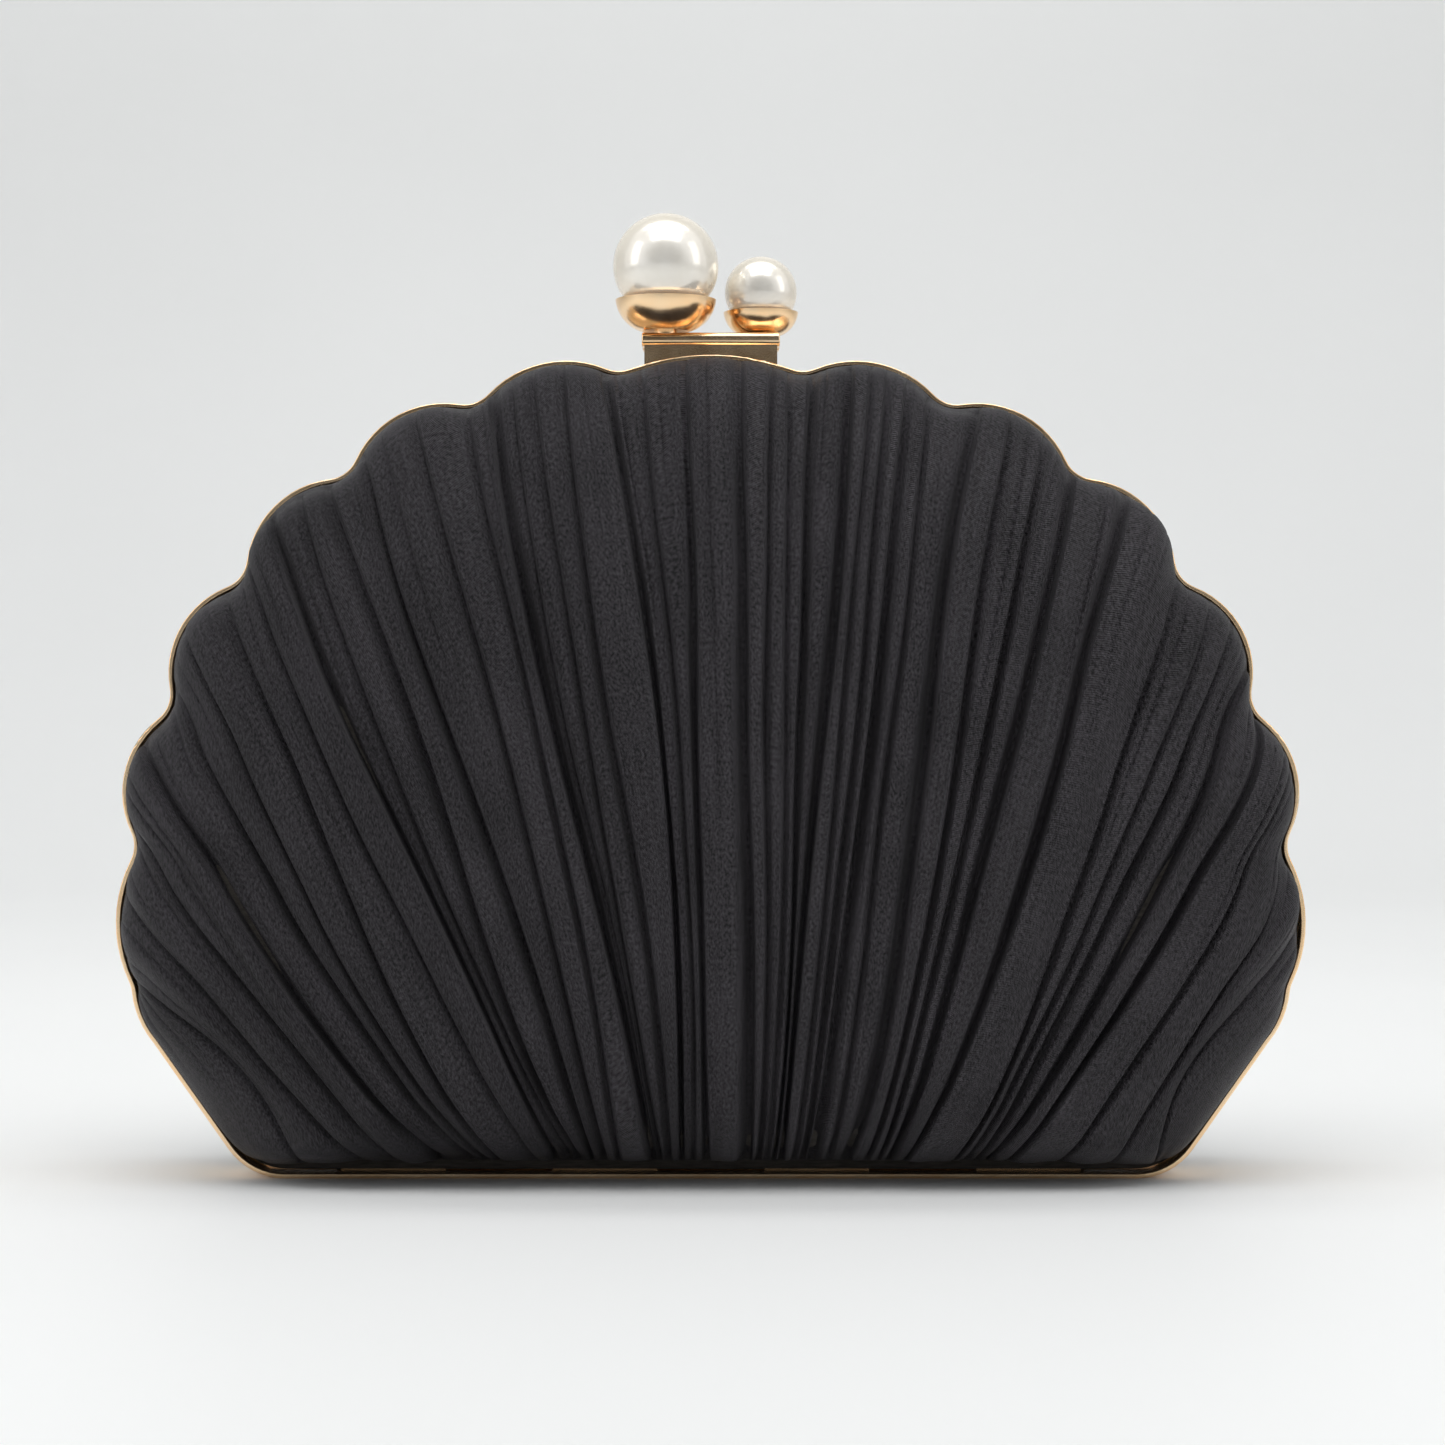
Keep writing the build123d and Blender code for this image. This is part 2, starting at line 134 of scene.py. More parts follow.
def build(name, points, faces, uv=None):
    """A mesh object at the origin from arrays of corners and faces, with an optional UV map."""
    mesh = bpy.data.meshes.new(name)
    mesh.from_pydata(points.reshape(-1, 3).tolist(), [], faces)
    mesh.update()
    mesh.polygons.foreach_set("use_smooth", np.ones(len(mesh.polygons), bool))
    if uv is not None:
        layer = mesh.uv_layers.new(name="cloth")
        loops = np.zeros(len(mesh.loops), np.int32)
        mesh.loops.foreach_get("vertex_index", loops)
        layer.data.foreach_set("uv", uv.reshape(-1, 2)[loops].astype(np.float32).ravel())
    piece = bpy.data.objects.new(name, mesh)
    bpy.context.collection.objects.link(piece)
    return piece


def grid_faces(rows, columns, closed=False, flip=False):
    """Quads of a grid numbered row by row; closed joins the last column to the first."""
    across = columns if closed else columns - 1
    row, column = np.meshgrid(np.arange(rows - 1), np.arange(across), indexing="ij")
    following = (column + 1) % columns
    corners = [row * columns + column, row * columns + following]
    corners += [(row + 1) * columns + following, (row + 1) * columns + column]
    faces = np.stack(corners, axis=-1).reshape(-1, 4)
    return (faces[:, ::-1] if flip else faces).tolist()


def outline(node, depth, outward):
    """Angles and radii of a CAD node's wall at one depth, by rays along or against the radius."""
    angles = np.linspace(-math.pi, math.pi, CARDINAL_STEPS, endpoint=False)
    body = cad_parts[node]
    radii = np.zeros(CARDINAL_STEPS)
    middle = Vector((0, depth, MID_Z))
    for i, angle in enumerate(angles):
        ray = Vector((math.sin(angle), 0, math.cos(angle)))
        start = middle if outward else middle + ray * 0.3
        hit, place, _, _ = body.ray_cast(start, ray if outward else -ray)
        radii[i] = (place - middle).length if hit else np.nan
    good = ~np.isnan(radii)
    return angles, np.interp(angles, angles[good], radii[good], period=2 * math.pi)


def inset_outline(angles, radii, inset):
    """The outline moved in along its own normals, measured again at the same angles."""
    points = np.stack([radii * np.sin(angles), radii * np.cos(angles)], axis=1)
    along = np.roll(points, -1, axis=0) - np.roll(points, 1, axis=0)
    along /= np.linalg.norm(along, axis=1, keepdims=True)
    moved = points + inset * np.stack([along[:, 1], -along[:, 0]], axis=1)
    turned = np.arctan2(moved[:, 0], moved[:, 1])
    order = np.argsort(turned)
    length = np.linalg.norm(moved, axis=1)
    return np.interp(angles, turned[order], length[order], period=2 * math.pi)


def averaged(angles, radii, spread):
    """The radii averaged over a Gaussian spread of angle, in radians, round the closed outline."""
    step = angles[1] - angles[0]
    offsets = np.arange(-int(3 * spread / step), int(3 * spread / step) + 1)
    weights = np.exp(-0.5 * (offsets * step / spread) ** 2)
    weights /= weights.sum()
    return sum(w * np.roll(radii, -o) for w, o in zip(weights, offsets))


rim_angles, rim_radii = outline("front_frame", -5 * MM, outward=False)
low_share = smooth((np.abs(rim_angles) - math.radians(108)) / math.radians(12))
seat_radii = inset_outline(rim_angles, rim_radii, SEAT_INSET) * (1 - low_share)
seat_radii += inset_outline(rim_angles, rim_radii, BASE_INSET) * low_share
upper = 1 - smooth((np.abs(rim_angles) - math.radians(86)) / math.radians(10))
oval_radii = upper * averaged(rim_angles, seat_radii, math.radians(9)) + (1 - upper) * seat_radii
mouth_radii = outline("front_lining", -2.5 * MM, outward=True)[1] - LINING_GAP


def radius_at(angle, radii):
    """An outline's radius at any angle."""
    return np.interp(angle, rim_angles, radii, period=2 * math.pi)


def cover_lines():
    """Folds and creases in order round the rim: their measures, run, and the pleat each starts.

    Creases stand at uneven shares of the pleat they are in, and run only part of the way down.
    """
    rng = np.random.default_rng(11)
    right_flank = np.array(FLANK, float)
    left_flank = right_flank * (-1, -1, 1, -1, 1, -1, 1)
    ends = np.vstack([left_flank, FOLDS, right_flank])
    lines, run, pleats = [], [], []
    for pleat, (left, right) in enumerate(zip(ends[:-1], ends[1:])):
        lines.append(left)
        run.append(2.0)
        wide, long = (right - left)[:2]
        count = int(max(wide // CREASE_SPACING, long // CREASE_REACH))
        for crease in range(count):
            share = (crease + 1 + rng.uniform(-0.3, 0.3)) / (count + 1)
            lines.append(left + (right - left) * share)
            lines[-1][2] = rng.uniform(0.2, 0.6)
            run.append(rng.uniform(0.12, 0.75))
        pleats += [pleat] * (count + 1)
    lines, run, pleats = lines + [ends[-1]], run + [2.0], pleats + [len(FOLDS)]
    return np.array(lines), np.array(run), np.array(pleats)


def fold_curves(lines, rows):
    """The curve of every fold over the face, x and z by row, with the two flanks as first and last.

    Each is the cubic through its four places at equal shares, the ends lying on the seated
    outline. Each then wanders sideways by a small sine of its own.
    """
    rim, foot = np.radians(lines[:, 0]), lines[:, 1] * MM
    top = np.stack([np.sin(rim), np.cos(rim)], axis=1) * radius_at(rim, oval_radii)[:, None]
    low_angle = np.arctan2(foot, np.full(len(foot), BASE_INSET - MID_Z))
    low_radius = radius_at(low_angle, oval_radii)[:, None]
    low = np.stack([np.sin(low_angle), np.cos(low_angle)], axis=1) * low_radius
    third, two_thirds = (lines[:, i : i + 2] * MM - (0, MID_Z) for i in (3, 5))
    t = rows[None, :, None]
    a, b, c = t - 1 / 3, t - 2 / 3, t - 1
    curve = -4.5 * a * b * c * top[:, None] + 13.5 * t * b * c * third[:, None]
    curve = curve - 13.5 * t * a * c * two_thirds[:, None] + 4.5 * t * a * b * low[:, None]
    rng = np.random.default_rng(3)
    pitch, phase = rng.uniform(0.8, 2.2, (2, len(rim), 1)) * [[[1]], [[3]]]
    room = np.clip((FLANK[0] - np.abs(lines[:, :1])) / WANDER_FADE, 0, 1)
    wander = WANDER * room * np.sin(2 * math.pi * pitch * rows + phase)
    curve[..., 0] += wander * rows * (1 - rows) ** 2 * 6.75
    return curve


def pleat_levels():
    """How far each pleat lies under the broad ones, counted outwards from the middle pleat."""
    count = len(FOLDS) + 1
    middle = sum(fold[1] < MIDDLE_PLACE for fold in FOLDS)
    levels = np.zeros(count)
    for way, steps in ((1, range(middle, count - 1)), (-1, range(middle - 1, -1, -1))):
        level = 0.0
        for fold in steps:
            level = 0.0 if FOLDS[fold][2] >= DEEP else level + STEP_DOWN
            levels[fold + 1 if way > 0 else fold] = level
    return -levels, middle


def cover_rows():
    """Shares down the cover: close together where it turns over the rim and over the base."""
    over_rim = 0.05 * np.linspace(0, 1, 19) ** 5
    over_base = 1 - 0.05 * np.linspace(1, 0, 11) ** 2.4
    return np.concatenate([over_rim, np.linspace(0.05, 0.95, 64)[1:-1], over_base])


def dome(rho, angle):
    """Depth of the cover's dome: seat + rise * (1 - rho^3)^e, rounder (larger e) lower down."""
    away = np.abs(np.degrees(angle))
    e = SHOULDER + (SIDE_SHOULDER - SHOULDER) * smooth((away - 35) / 40)
    e = e + (BASE_SHOULDER - SIDE_SHOULDER) * smooth((away - 96) / 34)
    return SEAT_DEPTH + (FACE_DEPTH - SEAT_DEPTH) * (1 - rho**DOME_POWER) ** e


def cover_columns(bands):
    """Every column's band and its share across it: even in the middle, close at the flanks."""
    across = (1 - np.cos(math.pi * np.arange(PLEAT_COLUMNS) / PLEAT_COLUMNS)) / 2
    flank = (np.arange(FLANK_COLUMNS) / FLANK_COLUMNS) ** 3
    far_flank = 1 - (np.arange(FLANK_COLUMNS, -1, -1) / FLANK_COLUMNS) ** 3
    parts = [flank] + [across] * (bands - 2) + [far_flank]
    return np.repeat(np.arange(bands), [len(p) for p in parts]), np.concatenate(parts)


def smooth_cover(curves, band, part):
    """The cover before its pleats, and each column's distance in from the nearer side."""
    flat = curves[band] * (1 - part)[:, None, None] + curves[band + 1] * part[:, None, None]
    flat = flat.transpose(1, 0, 2)
    angle = np.arctan2(flat[..., 0], flat[..., 1])
    rho = np.linalg.norm(flat, axis=-1) / radius_at(angle, oval_radii)
    place = (band + part) / (len(curves) - 1)
    margin = np.minimum(place, 1 - place)
    edge = smooth(1 - margin / EDGE_SHARE)[None, :]
    rho = np.minimum(rho * (1 / rho[:, np.where(place < 0.5, 0, -1)]) ** edge, 1.0)
    rho[0] = rho[-1] = 1.0
    shape = radius_at(angle, seat_radii) / radius_at(angle, oval_radii)
    radius = rho * (1 + (shape - 1) * rho**SCALLOP_FADE) * radius_at(angle, oval_radii)
    out = dome(rho, angle)
    base = np.stack([radius * np.sin(angle), -out, MID_Z + radius * np.cos(angle)], axis=-1)
    return base, margin


def cover_surface():
    """Points of the pleated satin over the front, by row from rim to base and column across.

    The face is a dome over rho, the distance from the middle as a share of the seated outline.
    Every pleat has a level and a low crown. It drops to a fold as a smooth step on the side where
    it lies on top, and as the square of the nearness on the other. Creases are shallow squares on
    both sides that fade on the way down, and a sum of sines ripples the cloth.
    """
    rows = cover_rows()
    lines, run, pleat = cover_lines()
    rim, depth = np.radians(lines[:, 0]), lines[:, 2] * MM
    curves = fold_curves(lines, rows)
    band, part = cover_columns(len(curves) - 1)
    base, margin = smooth_cover(curves, band, part)

    levels, middle = pleat_levels()
    row = rows[:, None]
    fold = run > 1
    rng = np.random.default_rng(19)
    phase, pitch = rng.uniform(0, 2 * math.pi, len(rim)), rng.uniform(0.8, 2.0, len(rim))
    breathing = 0.85 + 0.15 * np.sin(2 * math.pi * pitch * row + phase)
    opening = 0.3 + 0.7 * smooth((row - 0.02) / 0.42) * breathing
    fading = 1 - smooth((row - 0.35 * run) / (0.65 * run + 0.05))
    sink = depth * np.where(fold, SINK * opening, fading)
    line_level = levels[pleat]
    neighbour = np.concatenate([[line_level[0]], line_level[:-1]])
    bottom = np.maximum(np.minimum(line_level, neighbour) - sink, FLOOR)
    deep = depth >= DEEP * MM
    left_on_top = np.where(pleat > middle, ~deep, deep)
    slope = np.maximum(SLOPE * SINK * depth, 1.1 * MM) * (0.45 + 0.55 * opening)
    width = np.linalg.norm(curves[1:] - curves[:-1], axis=-1)[band].T
    level = line_level[band]

    def drop(line, distance, lip):
        """How much of the way to a fold's bottom the cloth has gone at a distance from it."""
        lipped = 1 - smooth(distance / np.minimum(LIP, 0.45 * width))
        sloped = 1 - smooth((distance / np.minimum(slope[:, line], 0.8 * width) - 0.22) / 0.78)
        creased = np.clip(1 - distance / np.minimum(CREASE_WIDTH, 0.45 * width), 0, 1) ** 2
        return np.where(fold[line], np.where(lip, lipped, sloped), creased)

    from_left, from_right = part * width, (1 - part) * width
    height = level + (bottom[:, band] - level) * drop(band, from_left, ~left_on_top[band])
    height = height + (bottom[:, band + 1] - level) * drop(band + 1, from_right, left_on_top[band + 1])
    fold_index = np.flatnonzero(fold)
    starts = rim[fold_index]
    here = rim[band] * (1 - part) + rim[band + 1] * part
    owner = pleat[band]
    share = (here - starts[owner]) / (starts[owner + 1] - starts[owner])
    rng = np.random.default_rng(7)
    pitch = rng.uniform(0.7, 1.8, len(levels))[owner]
    phase = rng.uniform(0, 2 * math.pi, len(levels))[owner]
    lean = rng.uniform(-0.25, 0.25, len(levels))[owner]
    wave = 0.6 * np.sin(2 * math.pi * pitch * row + phase) + lean * (share - 0.5) * 4
    pleat_width = np.linalg.norm(np.diff(curves[fold_index], axis=0), axis=-1)[owner].T
    height = height + CROWN * pleat_width * (4 * share * (1 - share) * (1 + 0.5 * wave))
    ripple = np.zeros_like(height)
    for _ in range(RIPPLES):
        pitch, phase = rng.uniform(20, 75), rng.uniform(0, 2 * math.pi)
        ripple += np.sin(pitch * here + rng.uniform(-4.5, 4.5) * row + phase)
    height = height + (RIPPLE_LOW + RIPPLE_TOP * (1 - smooth(row / 0.5))) * ripple
    strength = smooth(row / 0.004) * (0.55 + 0.45 * smooth(row / 0.08)) * smooth((1 - row) / 0.012)
    height = height * strength * smooth(margin / 0.02)

    normal = np.cross(np.gradient(base, axis=0), np.gradient(base, axis=1))
    normal /= np.maximum(np.linalg.norm(normal, axis=-1, keepdims=True), 1e-12)
    points = base + normal * height[..., None]
    down = np.cumsum(np.linalg.norm(np.diff(base, axis=0, prepend=base[:1]), axis=-1), axis=0)
    belt = points[len(rows) // 2]
    girth = np.cumsum(np.linalg.norm(np.diff(belt, axis=0, prepend=belt[:1]), axis=-1))
    return points, np.stack([np.broadcast_to(girth, down.shape), down], axis=-1)


def pleated_cover(name, half, stands_for, turn):
    """The satin of one half; turn is 1 for the front and -1 for the same shape at the back."""
    points, uv = cover_surface()
    points = points * np.array([turn, turn, 1.0])
    piece = build(name, points, grid_faces(*points.shape[:2], flip=True), uv)
    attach(piece, half)
    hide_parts(*stands_for)
    return piece


def lining_depth(x, z):
    """Depth of the lining: mouth + rise * (1 - rho^p)^e, less a few soft wrinkles."""
    angle = np.arctan2(x, z - MID_Z)
    rho = np.clip(np.hypot(x, z - MID_Z) / radius_at(angle, mouth_radii), 0, 1)
    wrinkle = np.sin(x / (7 * MM) + 2 * np.sin(z / (15 * MM))) * np.sin(z / (19 * MM) + x / (31 * MM))
    pull = 0.22 * MM * (1 + wrinkle) * smooth((1 - rho) / 0.1)
    lower = smooth((np.abs(np.degrees(angle)) - 75) / 60)
    power, e = (up + (down - up) * lower for up, down in zip(LINING_UPPER, LINING_LOWER))
    return LINING_MOUTH + LINING_RISE * (1 - rho**power) ** e - pull


def lining(name, half, stands_for, turn):
    """The satin lining of one half: rings from the mouth in to one point at the middle."""
    angles = np.linspace(-math.pi, math.pi, LINING_COLUMNS, endpoint=False)
    share = np.linspace(0, 1, LINING_ROWS)[:-1]
    rho = 1 - (0.35 * share**4 + 0.65 * share**1.15)
    radius = rho[:, None] * radius_at(angles, mouth_radii)[None, :]
    x, z = radius * np.sin(angles), MID_Z + radius * np.cos(angles)
    points = np.stack([turn * x, -turn * lining_depth(x, z), z], axis=-1).reshape(-1, 3)
    middle = [0, -turn * float(lining_depth(np.array(0.0), np.array(MID_Z))), MID_Z]
    first = (LINING_ROWS - 2) * LINING_COLUMNS
    ring = np.arange(LINING_COLUMNS)
    spokes = np.stack([first + ring, first + (ring + 1) % LINING_COLUMNS], axis=1)
    hub = np.full((LINING_COLUMNS, 1), len(points))
    faces = grid_faces(LINING_ROWS - 1, LINING_COLUMNS, closed=True)
    faces += np.concatenate([spokes, hub], axis=1).tolist()
    piece = build(name, np.vstack([points, middle]), faces)
    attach(piece, half)
    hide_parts(stands_for)
    return piece


def pocket_edge(share):
    """The slip pocket's sewn edge, side to side round the bottom: x and z at a share of its run."""
    half, low, turn = POCKET_HALF_WIDTH, POCKET_LOW, POCKET_ROUND
    arc = np.linspace(0, math.pi / 2, 9)
    left = np.stack([-half + turn - turn * np.cos(arc), low + turn - turn * np.sin(arc)], axis=1)
    right = np.stack([-left[::-1, 0], left[::-1, 1]], axis=1)
    path = np.vstack([[[-half, POCKET_HIGH]], left, right, [[half, POCKET_HIGH]]])
    run = np.append(0, np.cumsum(np.linalg.norm(np.diff(path, axis=0), axis=1)))
    at = np.asarray(share) * run[-1]
    return np.stack([np.interp(at, run, path[:, 0]), np.interp(at, run, path[:, 1])], axis=-1)


def slip_pocket():
    """The pocket's patch: columns across, rows up the front, over a rolled hem and down behind.

    It stands off the lining by 0.12 mm on its sewn edge and by up to 1 mm at the open top.
    """
    columns, climb = 61, 30
    u = np.linspace(-1, 1, columns)
    half, turn = POCKET_HALF_WIDTH, POCKET_ROUND
    corner = np.clip((np.abs(u) * half - (half - turn)) / turn, 0, 1)
    low = POCKET_LOW + turn * (1 - np.sqrt(1 - corner**2))
    v = np.linspace(0, 1, climb)[:, None]
    z = low + (POCKET_HIGH - HEM_RADIUS - low) * v
    x = np.broadcast_to(u * half, z.shape)
    slack = (1 - np.abs(u) ** 5) * smooth(v / 0.25) * (0.35 + 0.65 * v)
    lift = (0.12 + 0.95 * slack) * MM
    bow = np.linspace(0, math.pi, 9)[1:, None]
    hem_z = POCKET_HIGH - HEM_RADIUS + HEM_RADIUS * np.sin(bow) + 0 * u
    hem_lift = lift[-1] - HEM_RADIUS * (1 - np.cos(bow)) * 0.9
    tail = np.linspace(0, 1, 8)[1:, None]
    tail_z = POCKET_HIGH - HEM_RADIUS - 5 * MM * tail + 0 * u
    z = np.vstack([z, hem_z, tail_z])
    x = np.broadcast_to(u * half, z.shape)
    lift = np.vstack([lift, hem_lift, np.broadcast_to(hem_lift[-1], tail_z.shape)])
    points = np.stack([x, lining_depth(-x, z) - np.maximum(lift, 0.08 * MM), z], axis=-1)
    piece = build("slip_pocket_patch", points, grid_faces(*z.shape))
    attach(piece, "rear_half")
    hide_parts("slip_pocket")
    return piece


def stitches(name, places, along, out, half):
    """A row of stitches: each a small spindle, radius * sin(pi t) about its own length."""
    rings, sides, long, thick = 7, 8, 1.9 * MM, 0.16 * MM
    t = np.linspace(0.04, 0.96, rings)
    around = np.arange(sides) * 2 * math.pi / sides
    girth = thick * np.sin(math.pi * t) ** 0.5
    across = np.cross(along, out)
    spine = places[:, None, :] + along[:, None, :] * ((t - 0.5) * long)[None, :, None]
    ring = out[:, None, None, :] * np.cos(around)[:, None]
    ring = ring + across[:, None, None, :] * np.sin(around)[:, None]
    points = spine[:, :, None, :] + ring * girth[None, :, None, None]
    one = np.array(grid_faces(rings, sides, closed=True))
    caps = [np.arange(sides)[::-1], (rings - 1) * sides + np.arange(sides)]
    starts = np.arange(len(places)) * rings * sides
    faces = (one[None] + starts[:, None, None]).reshape(-1, 4).tolist()
    faces += (np.stack(caps)[None] + starts[:, None, None]).reshape(-1, sides).tolist()
    piece = build(name, points, faces)
    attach(piece, half)
    return piece


def pocket_stitching():
    """Topstitching 1.4 mm inside the pocket's sewn edge."""
    share = np.linspace(0.015, 0.985, 44)
    step = 0.002
    edge = pocket_edge(share) * np.array([1 - 1.4 / 36, 1.0])
    edge[:, 1] += 1.4 * MM * np.clip(1 - (edge[:, 1] - POCKET_LOW) / (12 * MM), 0, 1)
    ahead = pocket_edge(share + step) - pocket_edge(share - step)
    run = np.stack([ahead[:, 0], 0 * share, ahead[:, 1]], axis=1)
    run /= np.linalg.norm(run, axis=1, keepdims=True)
    depth = lining_depth(-edge[:, 0], edge[:, 1]) - 0.2 * MM
    places = np.stack([edge[:, 0], depth, edge[:, 1]], axis=1)
    out = np.tile([0.0, -1.0, 0.0], (len(share), 1))
    return stitches("pocket_stitching", places, run, out, "rear_half")


def gusset(name, stands_for, side):
    """A side gusset: a cloth V from the rear lining in to its fold and back out to the front one.

    Across, the place goes from the sewn edge to the fold by 1 - |u|, and the depth by u, with a
    little fullness of each leg as sin(pi |u|).
    """
    v = np.linspace(0, 1, 40)[:, None]
    u = np.linspace(-1, 1, 41)[None, :]
    angle = np.radians(GUSSET_ANGLES[0] + (GUSSET_ANGLES[1] - GUSSET_ANGLES[0]) * v)
    radius = radius_at(angle, mouth_radii) + 0.25 * MM
    sewn = np.concatenate([radius * np.sin(angle), MID_Z + radius * np.cos(angle)], axis=1)
    fold = GUSSET_FOLD[0] + (GUSSET_FOLD[1] - GUSSET_FOLD[0]) * v
    place = fold[:, None] + (sewn - fold)[:, None] * np.abs(u)[..., None]
    fullness = 0.3 * MM * np.sin(math.pi * np.abs(u)) * np.sin(5 * v + 9 * np.abs(u))
    x = place[..., 0] + fullness
    y = -GUSSET_HALF * u + 0 * v
    points = np.stack([side * x, y, place[..., 1]], axis=-1)
    piece = build(name, points, grid_faces(40, 41, flip=side < 0))
    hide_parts(stands_for)
    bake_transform(piece)
    return piece


# Materials


def material(name):
    """An empty node material and its Principled shader."""
    made = bpy.data.materials.new(name)
    made.use_nodes = True
    made.node_tree.nodes.clear()
    shader = made.node_tree.nodes.new("ShaderNodeBsdfPrincipled")
    out = made.node_tree.nodes.new("ShaderNodeOutputMaterial")
    made.node_tree.links.new(shader.outputs[0], out.inputs[0])
    return made, shader


def node(made, kind, **values):
    """A node with its inputs set by name, or linked where the value is a socket."""
    new = made.node_tree.nodes.new(kind)
    for key, value in values.items():
        if hasattr(new, key) and key not in new.inputs:
            setattr(new, key, value)
            continue
        socket = new.inputs[int(key[1:]) if key[0] == "i" and key[1:].isdigit() else key.replace("_", " ")]
        if isinstance(value, bpy.types.NodeSocket):
            made.node_tree.links.new(value, socket)
        else:
            socket.default_value = value
    return new


def ramp(made, factor, stops):
    """A colour ramp through (place, colour) stops."""
    new = made.node_tree.nodes.new("ShaderNodeValToRGB")
    made.node_tree.links.new(factor, new.inputs[0])
    while len(new.color_ramp.elements) < len(stops):
        new.color_ramp.elements.new(0.5)
    for element, (place, colour) in zip(new.color_ramp.elements, stops):
        element.position = place
        element.color = (*colour, 1)
    return new.outputs[0]


def scaled_sum(made, source, factor, added):
    """A node that gives the source times the factor, plus the added node."""
    values = {"i0": source.outputs[0], "i1": factor, "i2": added.outputs[0]}
    return node(made, "ShaderNodeMath", operation="MULTIPLY_ADD", **values)


def join(made, source, shader, socket):
    """Links an output to one of the shader's own inputs."""
    made.node_tree.links.new(source, shader.inputs[socket])


def settings(shader, **values):
    """Sets the shader's own sockets by name."""
    for key, value in values.items():
        shader.inputs[key.replace("_", " ")].default_value = value


def satin(name, dark, light, on_cloth=True):
    """Woven satin: fine slubs along the cloth, threads as bump, and a soft sheen."""
    made, shader = material(name)
    where = node(made, "ShaderNodeTexCoord")
    cloth = where.outputs["UV" if on_cloth else "Object"]
    grain = node(made, "ShaderNodeMapping", Vector=cloth, Scale=(2300, 1400, 1800))
    slub = node(made, "ShaderNodeTexNoise", Vector=grain.outputs[0], Scale=1.0, Detail=2.0, Roughness=0.6)
    streak = node(made, "ShaderNodeMapping", Vector=cloth, Scale=(900, 60, 300))
    thick = node(made, "ShaderNodeTexNoise", Vector=streak.outputs[0], Scale=1.0, Detail=2.0)
    patch = node(made, "ShaderNodeTexNoise", Vector=where.outputs["Object"], Scale=45.0, Detail=2.0)
    body = scaled_sum(made, patch, 0.2, slub)
    tone = scaled_sum(made, thick, 0.25, body)
    join(made, ramp(made, tone.outputs[0], ((0.55, dark), (0.92, light))), shader, "Base Color")
    rough = node(made, "ShaderNodeMapRange", Value=slub.outputs[0], To_Min=0.3, To_Max=0.65)
    join(made, rough.outputs[0], shader, "Roughness")
    threads = node(made, "ShaderNodeTexWave", Vector=cloth, Scale=1500.0, Distortion=2.5, Detail=2.0)
    threads.bands_direction = "DIAGONAL"
    height = scaled_sum(made, slub, 1.6, threads)
    bump = node(made, "ShaderNodeBump", Height=height.outputs[0], Strength=0.8, Distance=0.00025)
    join(made, bump.outputs[0], shader, "Normal")
    settings(shader, Sheen_Weight=0.04, Sheen_Roughness=0.3, Specular_IOR_Level=0.22)
    return made


def plating(name, colour, deep, rough):
    """Plated metal: polish that wanders a little, faint rubbing and a deeper tone in patches."""
    made, shader = material(name)
    where = node(made, "ShaderNodeTexCoord")
    cloud = node(made, "ShaderNodeTexNoise", Vector=where.outputs["Object"], Scale=180.0, Detail=4.0)
    scuff = node(made, "ShaderNodeTexNoise", Vector=where.outputs["Object"], Scale=900.0, Detail=3.0)
    join(made, ramp(made, cloud.outputs[0], ((0.3, deep), (0.65, colour))), shader, "Base Color")
    polish = node(made, "ShaderNodeMapRange", Value=cloud.outputs[0], To_Min=rough * 0.6, To_Max=rough * 1.5)
    join(made, polish.outputs[0], shader, "Roughness")
    bump = node(made, "ShaderNodeBump", Height=scuff.outputs[0], Strength=0.08, Distance=0.0001)
    join(made, bump.outputs[0], shader, "Normal")
    settings(shader, Metallic=1.0)
    return made


def pearl_coat(name):
    """Pearl lacquer: cream body, warmer seen edge-on, cloudy lustre under a clear gloss."""
    made, shader = material(name)
    where = node(made, "ShaderNodeTexCoord")
    cloud = node(made, "ShaderNodeTexNoise", Vector=where.outputs["Object"], Scale=220.0, Detail=5.0)
    facing = node(made, "ShaderNodeLayerWeight", Blend=0.35)
    body = ramp(made, facing.outputs["Facing"], ((0.1, (1.0, 0.96, 0.88)), (0.85, (0.98, 0.88, 0.7))))
    milky = ramp(made, cloud.outputs[0], ((0.3, (0.95, 0.94, 0.92)), (0.7, (1.0, 1.0, 1.0))))
    mix = node(made, "ShaderNodeMix", data_type="RGBA", blend_type="MULTIPLY", i0=1.0, i6=body, i7=milky)
    join(made, mix.outputs[2], shader, "Base Color")
    settings(shader, Metallic=0.3, Roughness=0.2, Specular_IOR_Level=0.8)
    settings(shader, Coat_Weight=1.0, Coat_Roughness=0.05)
    return made


def board(name):
    """Grey pulp board: felted fibres and flecks."""
    made, shader = material(name)
    where = node(made, "ShaderNodeTexCoord")
    long = node(made, "ShaderNodeMapping", Vector=where.outputs["Object"], Scale=(300, 900, 2200))
    fibre = node(made, "ShaderNodeTexNoise", Vector=long.outputs[0], Scale=1.0, Detail=5.0)
    tone = ramp(made, fibre.outputs[0], ((0.3, (0.05, 0.045, 0.04)), (0.75, (0.1, 0.09, 0.08))))
    join(made, tone, shader, "Base Color")
    bump = node(made, "ShaderNodeBump", Height=fibre.outputs[0], Strength=0.3, Distance=0.0002)
    join(made, bump.outputs[0], shader, "Normal")
    settings(shader, Roughness=0.85, Specular_IOR_Level=0.2)
    return made


def paint(names, made):
    """Gives CAD nodes a material in place of their own."""
    for name in names:
        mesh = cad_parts[name].data
        mesh.materials.clear()
        mesh.materials.append(made)


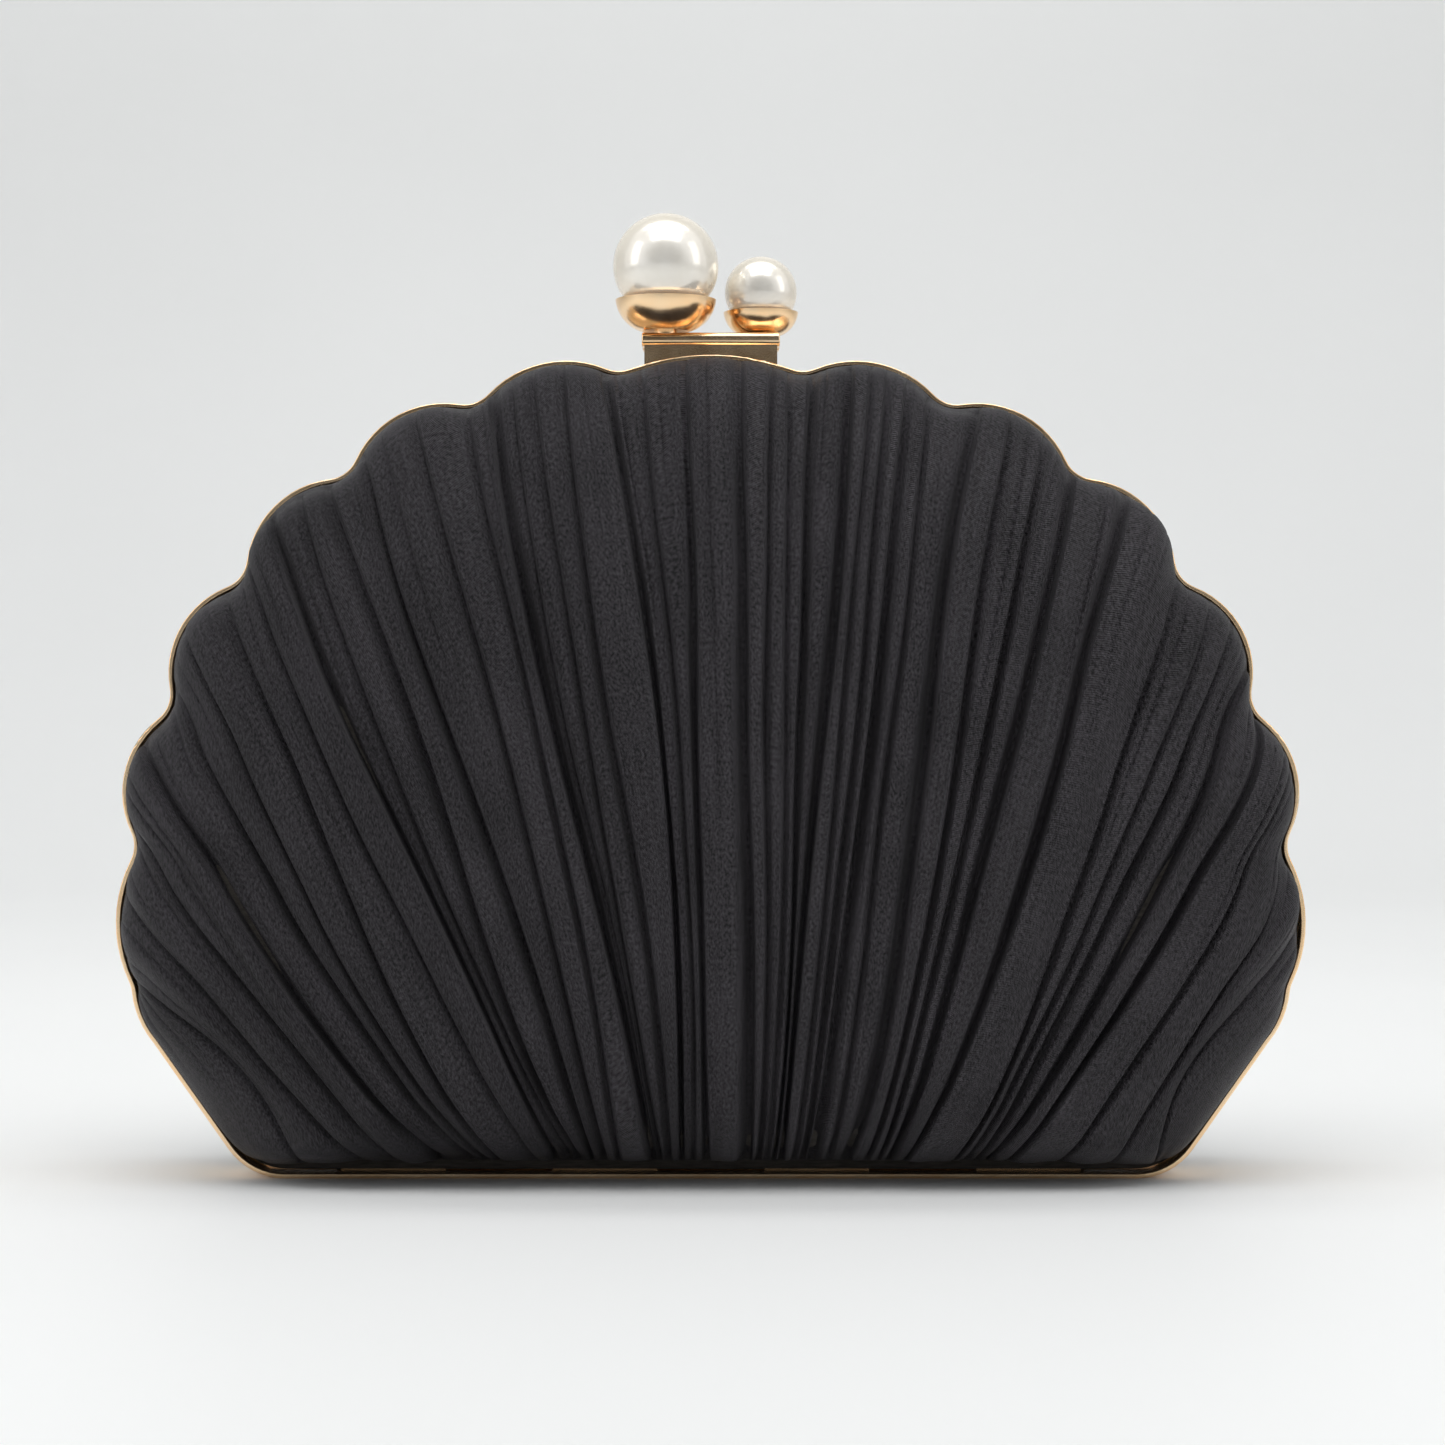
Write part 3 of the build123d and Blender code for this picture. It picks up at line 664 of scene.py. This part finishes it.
black_satin = satin("black_satin_cover", (0.003, 0.0025, 0.0032), (0.062, 0.056, 0.064))
lining_cloth = satin("champagne_lining_satin", (0.3, 0.22, 0.14), (0.55, 0.43, 0.3), on_cloth=False)
thread = satin("lining_thread", (0.36, 0.27, 0.18), (0.5, 0.4, 0.28), on_cloth=False)
gold = plating("light_gold_plating", (1.0, 0.75, 0.48), (0.98, 0.67, 0.38), 0.22)
pearl = pearl_coat("pearl_lacquer")
steel = plating("drawn_steel", (0.62, 0.61, 0.6), (0.5, 0.49, 0.48), 0.3)
pulp = board("shell_pulp_board")
paint([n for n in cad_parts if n.endswith(("frame", "knuckles", "jaw", "cup", "eye"))], gold)
paint(["large_pearl", "small_pearl"], pearl)
paint(["hinge_pin", "large_pearl_post", "small_pearl_post"], steel)
paint(["front_shell", "rear_shell"], pulp)

pieces = [
    (pleated_cover("front_pleated_satin", "front_half", ["front_cover", "front_wadding"], 1), black_satin),
    (pleated_cover("rear_pleated_satin", "rear_half", ["rear_cover", "rear_wadding"], -1), black_satin),
    (lining("front_satin_lining", "front_half", "front_lining", 1), lining_cloth),
    (lining("rear_satin_lining", "rear_half", "rear_lining", -1), lining_cloth),
    (slip_pocket(), lining_cloth),
    (pocket_stitching(), thread),
    (gusset("right_side_gusset", "right_gusset", 1), lining_cloth),
    (gusset("left_side_gusset", "left_gusset", -1), lining_cloth),
]
for piece, finish in pieces:
    piece.data.materials.append(finish)

# Floor, light and camera
floor_material, floor_shader = material("pale_floor")
floor_place = node(floor_material, "ShaderNodeTexCoord")
floor_cloud = node(floor_material, "ShaderNodeTexNoise", Vector=floor_place.outputs["Object"], Scale=3.0)
floor_stops = ((0.3, (0.87, 0.875, 0.865)), (0.7, (0.89, 0.895, 0.885)))
floor_tone = ramp(floor_material, floor_cloud.outputs[0], floor_stops)
join(floor_material, floor_tone, floor_shader, "Base Color")
settings(floor_shader, Roughness=0.55, Specular_IOR_Level=0.3)


def sweep():
    """Floor that curves up into a wall: flat to a line behind, a quarter circle, then upright."""
    bend, behind, high = 0.5, 0.9, 4.5
    turn = np.linspace(0, math.pi / 2, 24)
    y = np.concatenate([[-7.0], behind + bend * np.sin(turn), [behind + bend]])
    z = np.concatenate([[0.0], bend * (1 - np.cos(turn)), [high]])
    x = np.array([-8.0, 8.0])
    points = np.stack(np.broadcast_arrays(x[None, :], y[:, None], z[:, None]), axis=-1)
    made = build("floor", points, grid_faces(len(y), 2))
    made.data.materials.append(floor_material)


sweep()

world = bpy.data.worlds.new("studio")
world.use_nodes = True
sky = world.node_tree
sky_place = sky.nodes.new("ShaderNodeTexCoord")
toward = sky.nodes.new("ShaderNodeVectorMath")
toward.operation = "DOT_PRODUCT"
toward.inputs[1].default_value = (0.0, -0.985, 0.17)
sky.links.new(sky_place.outputs["Generated"], toward.inputs[0])
dim = sky.nodes.new("ShaderNodeMapRange")
dim.interpolation_type = "SMOOTHSTEP"
sky.links.new(toward.outputs["Value"], dim.inputs["Value"])
for key, value in (("From Min", 0.55), ("From Max", 0.97), ("To Min", 0.84), ("To Max", 0.07)):
    dim.inputs[key].default_value = value
sky.links.new(dim.outputs[0], sky.nodes["Background"].inputs["Strength"])
sky.nodes["Background"].inputs["Color"].default_value = (0.97, 0.98, 1.0, 1)
bpy.context.scene.world = world


def softbox(name, place, size, power, target=(0, 0, 0.08)):
    """A rectangular softbox that faces the purse or another target."""
    light = bpy.data.lights.new(name, "AREA")
    light.shape = "RECTANGLE"
    light.size, light.size_y = size
    light.energy = power
    lamp = bpy.data.objects.new(name, light)
    lamp.location = place
    aim = Vector(target) - Vector(place)
    lamp.rotation_euler = aim.to_track_quat("-Z", "Y").to_euler()
    bpy.context.collection.objects.link(lamp)


softbox("overhead", (0, -0.3, 0.9), (0.8, 0.5), 2.9)
softbox("left", (-0.85, -0.3, 0.5), (0.3, 0.7), 1.1)
softbox("right", (0.85, -0.3, 0.5), (0.3, 0.7), 0.8)
softbox("wall_wash", (0, 0.2, 1.5), (1.5, 0.3), 7, target=(0, 1.4, 0.5))

camera_data = bpy.data.cameras.new("camera")
camera = bpy.data.objects.new("camera", camera_data)
CAMERA_DISTANCE = 0.56
VIEW_WIDTH = 0.2741
camera_data.sensor_width = 36
camera_data.lens = 36 * CAMERA_DISTANCE / VIEW_WIDTH
camera.location = (0.0022, -CAMERA_DISTANCE, 0.0854)
camera.rotation_euler = (math.pi / 2, 0, 0)
bpy.context.collection.objects.link(camera)
bpy.context.scene.camera = camera
bpy.context.scene.view_settings.view_transform = "Standard"

bpy.context.view_layer.update()
